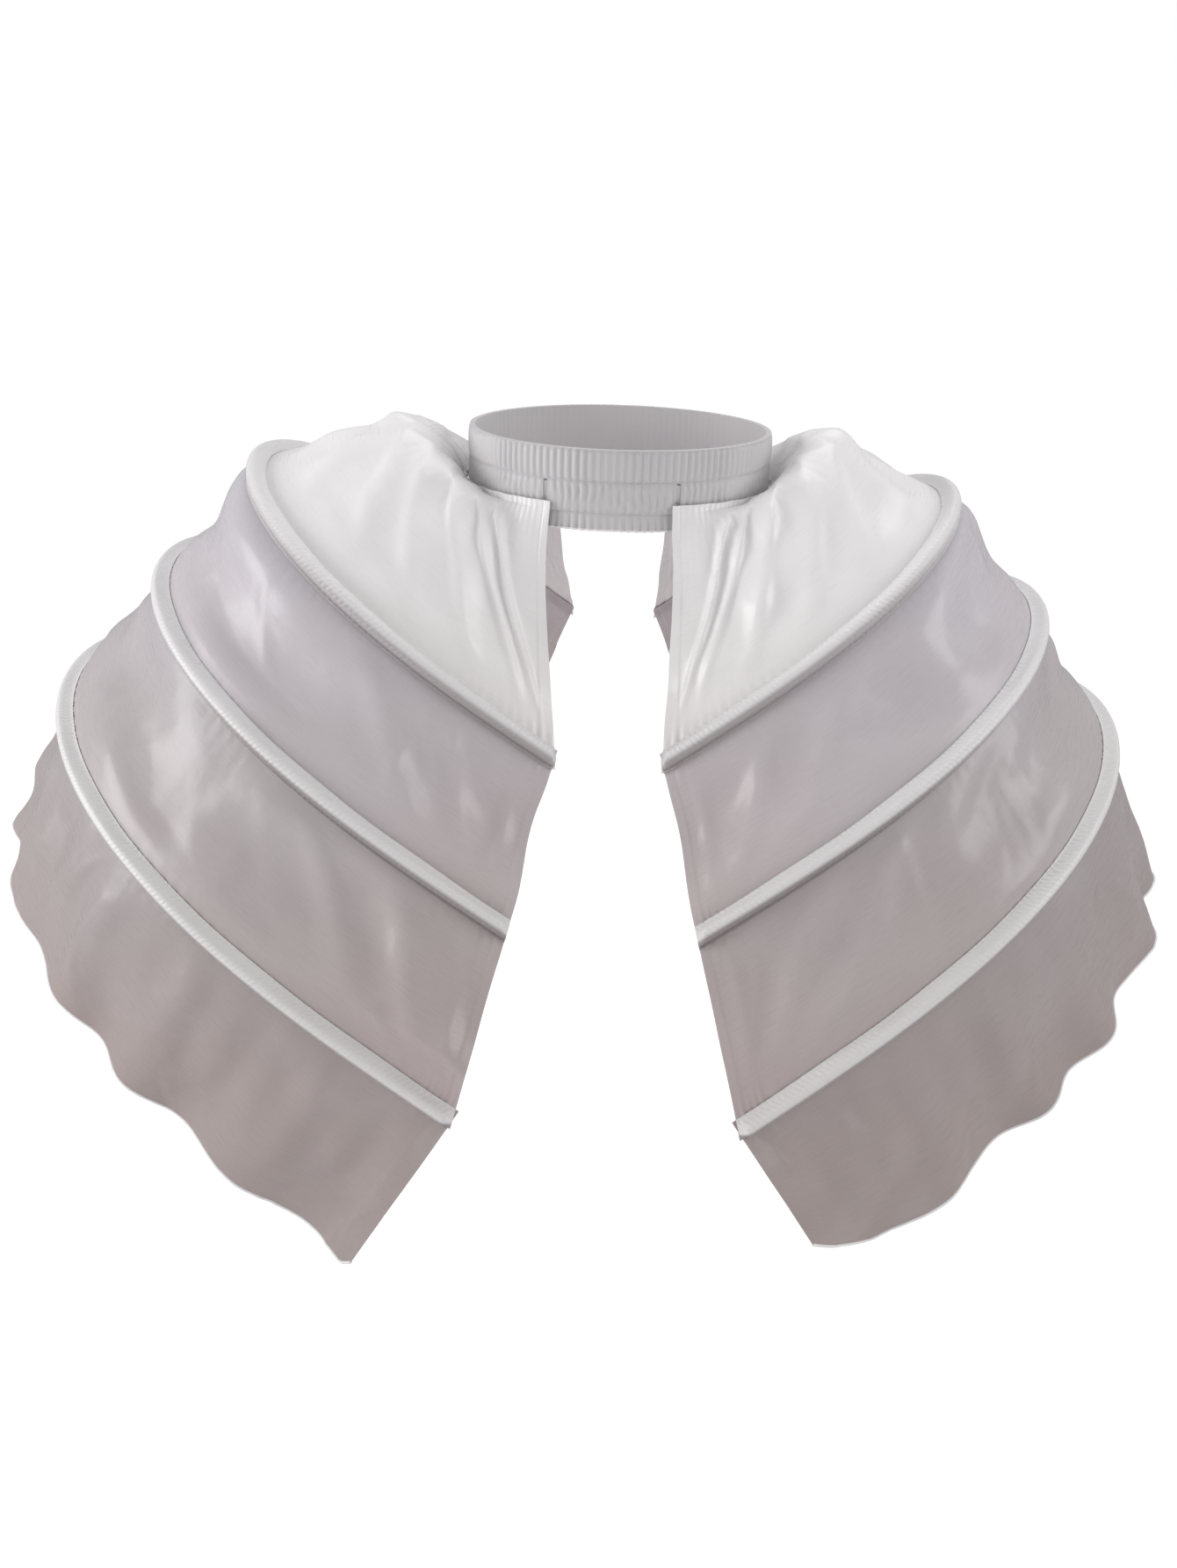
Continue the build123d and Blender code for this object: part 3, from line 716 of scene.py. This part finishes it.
def makeBand():
    columns = bandLook["pleats"] * bandLook["perPleat"]
    angle = 2 * np.pi * np.arange(columns + 1) / columns
    channel, skirtTop = bandLook["channel"], 2 * bandLook["channel"]
    bottom = skirtTop + bandLook["skirt"] + bandLook["ruffle"]
    # rows crowd at the rolled top, at the two stitch lines and down the frill
    drops = np.concatenate((
        [0.0, 0.0004, 0.0012, 0.0025], np.linspace(0.005, 0.021, 7), [0.0228, 0.0238, 0.0245, 0.0252, 0.0262],
        np.linspace(0.029, 0.045, 8), [0.0472, 0.0482, 0.0490, 0.0498, 0.0508],
        [0.0525, 0.0545, 0.0562, 0.0578, 0.0592, 0.0604, bottom],
    ))
    pleat = np.abs(np.sin(bandLook["pleats"] / 2 * angle + 0.35 * np.sin(5 * angle) + 0.2 * np.sin(13 * angle + 1)))
    unevenPleat = 0.82 + 0.18 * np.sin(17 * angle + 1) * np.sin(3 * angle)
    rows = []
    for drop in drops:
        groove = sum(math.exp(-((drop - stitch) / bandLook["stitchWidth"]) ** 2) for stitch in (channel, skirtTop))
        groove += 0.8 * math.exp(-((drop - 0.0012) / 0.001) ** 2)
        height = bandLook["pleatHeight"] * (1 - 0.75 * min(1, groove))
        puff = bandLook["puff"] * math.sin(math.pi * min(1, (drop % channel) / channel))
        if drop > skirtTop:
            t = (drop - skirtTop) / (bottom - skirtTop)
            height = bandLook["pleatHeight"] * (0.30 + 1.25 * t)
            puff = bandLook["flare"] * t
        # the lower channel's pleats are crinkled
        crinkle = 0.5
        if 0.026 < drop < 0.047:
            crinkle = crinkle + 1.1 * np.sin(260 * drop + 9 * angle) + 0.8 * np.sin(23 * angle)
        sway = 0.55 * pleat + 0.45 * np.abs(np.sin(bandLook["pleats"] / 2 * angle + crinkle))
        grow = bandLook["flat"] - bandLook["pinch"] * min(1, groove) + puff + height * unevenPleat * sway
        rows.append(bandRing(angle, grow, drop))
    outer = np.array(rows)
    bore = bandLook["bore"] + 0.0002 * pleat
    inner = np.array([bandRing(angle, bore, drop) for drop in (bottom, skirtTop, channel, 0.0)])
    # two short slits in the outer cloth of the lower channel, just inside the wings' front corners
    for side in wings:
        near = np.abs(outer[:, :, 0] * wings[side]["sign"] - bandLook["slitX"][side]) < bandLook["slitWidth"] * 0.75
        near = near & (outer[:, :, 1] < 0)
        tall = (outer[:, :, 2] < bandLook["slitTop"] + 0.001) & (outer[:, :, 2] > bandLook["slitBottom"] - 0.001)
        outer[near & tall, 1] += bandLook["slitDepth"]
    grid = np.concatenate((outer, inner))
    grid = np.concatenate((grid, grid[:1]))
    girth = arcLength(outer[10])
    u = np.repeat(girth[None, :], len(grid), axis=0)
    v = np.repeat(arcLength(grid[:, 0])[:, None], grid.shape[1], axis=1)
    piece = finishSheet("waistbandCloth", None, grid, np.stack([u, v], axis=-1), 0)
    bpy.ops.object.mode_set(mode="EDIT")
    bpy.ops.mesh.select_all(action="SELECT")
    bpy.ops.mesh.remove_doubles(threshold=0.00001)
    bpy.ops.mesh.normals_make_consistent(inside=False)
    bpy.ops.object.mode_set(mode="OBJECT")
    bpy.ops.object.shade_smooth_by_angle(angle=math.radians(60))
    dress(piece, bandCloth)
    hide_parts("waistband_casing")
    bead = lineTube("waistbandOverlock", None, outer[-1][:-1], bandLook["overlock"], True)
    dress(bead, thread)
    print("waistband made")


makeBand()

# the camera, fitted to the photograph; angles are in radians
cameraFit = {
    "place": (-0.0010, -1.1417, 0.2232), "pitch": 0.4468, "roll": -0.0301, "yaw": -0.0143,
    "focalPixels": 1574.8, "imageHeight": 1785, "sensorHeight": 36,
}
cameraData = bpy.data.cameras.new("photoCamera")
camera = bpy.data.objects.new("photoCamera", cameraData)
bpy.context.collection.objects.link(camera)
yaw, pitch, roll = cameraFit["yaw"], cameraFit["pitch"], cameraFit["roll"]
forward = Vector((math.sin(yaw) * math.cos(pitch), math.cos(yaw) * math.cos(pitch), -math.sin(pitch)))
up = Vector((math.sin(yaw) * math.sin(pitch), math.cos(yaw) * math.sin(pitch), math.cos(pitch)))
right = Vector((math.cos(yaw), -math.sin(yaw), 0))
imageX = right * math.cos(roll) - up * math.sin(roll)
imageY = right * math.sin(roll) + up * math.cos(roll)
turn = Matrix((imageX, imageY, -forward)).transposed().to_4x4()
camera.matrix_world = Matrix.Translation(cameraFit["place"]) @ turn
cameraData.sensor_fit = "VERTICAL"
cameraData.sensor_height = cameraFit["sensorHeight"]
cameraData.lens = cameraFit["focalPixels"] * cameraFit["sensorHeight"] / cameraFit["imageHeight"]
cameraData.clip_start = 0.01
cameraData.clip_end = 60
bpy.context.scene.camera = camera

# lamps, world and floor; the floor and the world are white to the camera alone, so the object's light stays plain
studio = {
    "aim": (0, 0, -0.2), "ambient": 0.42, "backdrop": 1.0,
    "floorHeight": -1.02, "floorSize": 24, "floorHex": "#e6e4e6", "floorShadow": 0.2, "floorGlow": 0.96,
    "lamps": {
        "windowSoftbox": {"place": (-1.9, -0.5, 0.30), "size": 1.1, "power": 24},
        "fillSoftbox": {"place": (1.9, -0.5, 0.60), "size": 1.1, "power": 15},
        "overheadSoftbox": {"place": (0.2, 0.9, 1.70), "size": 1.4, "power": 16},
        "floorBounce": {"place": (0.0, -1.6, -0.85), "size": 1.1, "power": 7.5},
    },
}
for lampName, lampLook in studio["lamps"].items():
    bpy.ops.object.light_add(type="AREA", location=lampLook["place"])
    lamp = bpy.context.object
    lamp.name = lampName
    lamp.data.size = lampLook["size"]
    lamp.data.energy = lampLook["power"]
    aim = Vector(studio["aim"]) - Vector(lampLook["place"])
    lamp.rotation_euler = aim.to_track_quat("-Z", "Y").to_euler()

white = (1, 1, 1, 1)
world = bpy.data.worlds.new("studioWorld")
world.use_nodes = True
bpy.context.scene.world = world
world.node_tree.nodes.clear()
path = addNode(world, "ShaderNodeLightPath")
ambient = addNode(world, "ShaderNodeBackground", {"Color": white, "Strength": studio["ambient"]})
backdrop = addNode(world, "ShaderNodeBackground", {"Color": white, "Strength": studio["backdrop"]})
mixed = addNode(world, "ShaderNodeMixShader", links={0: (path, "Is Camera Ray"), 1: (ambient, 0), 2: (backdrop, 0)})
addNode(world, "ShaderNodeOutputWorld", links={"Surface": (mixed, 0)})

bpy.ops.mesh.primitive_plane_add(size=studio["floorSize"], location=(0, 0, studio["floorHeight"]))
floor = bpy.context.object
floor.name = "studioFloor"
floorPaper = bpy.data.materials.new("backdrop paper matt")
floorPaper.use_nodes = True
floorPaper.node_tree.nodes.clear()
path = addNode(floorPaper, "ShaderNodeLightPath")
plainFace = addNode(floorPaper, "ShaderNodeBsdfDiffuse", {"Color": hexColour(studio["floorHex"])})
shadowFace = addNode(floorPaper, "ShaderNodeBsdfDiffuse", {"Color": [studio["floorShadow"]] * 3 + [1]})
whiten = addNode(floorPaper, "ShaderNodeEmission", {"Color": white, "Strength": studio["floorGlow"]})
seenFace = addNode(floorPaper, "ShaderNodeAddShader", links={0: (shadowFace, 0), 1: (whiten, 0)})
floorMix = addNode(floorPaper, "ShaderNodeMixShader", links={
    0: (path, "Is Camera Ray"), 1: (plainFace, 0), 2: (seenFace, 0),
})
addNode(floorPaper, "ShaderNodeOutputMaterial", links={"Surface": (floorMix, 0)})
floor.data.materials.append(floorPaper)
bpy.context.scene.view_settings.view_transform = "Standard"
print("studio made")
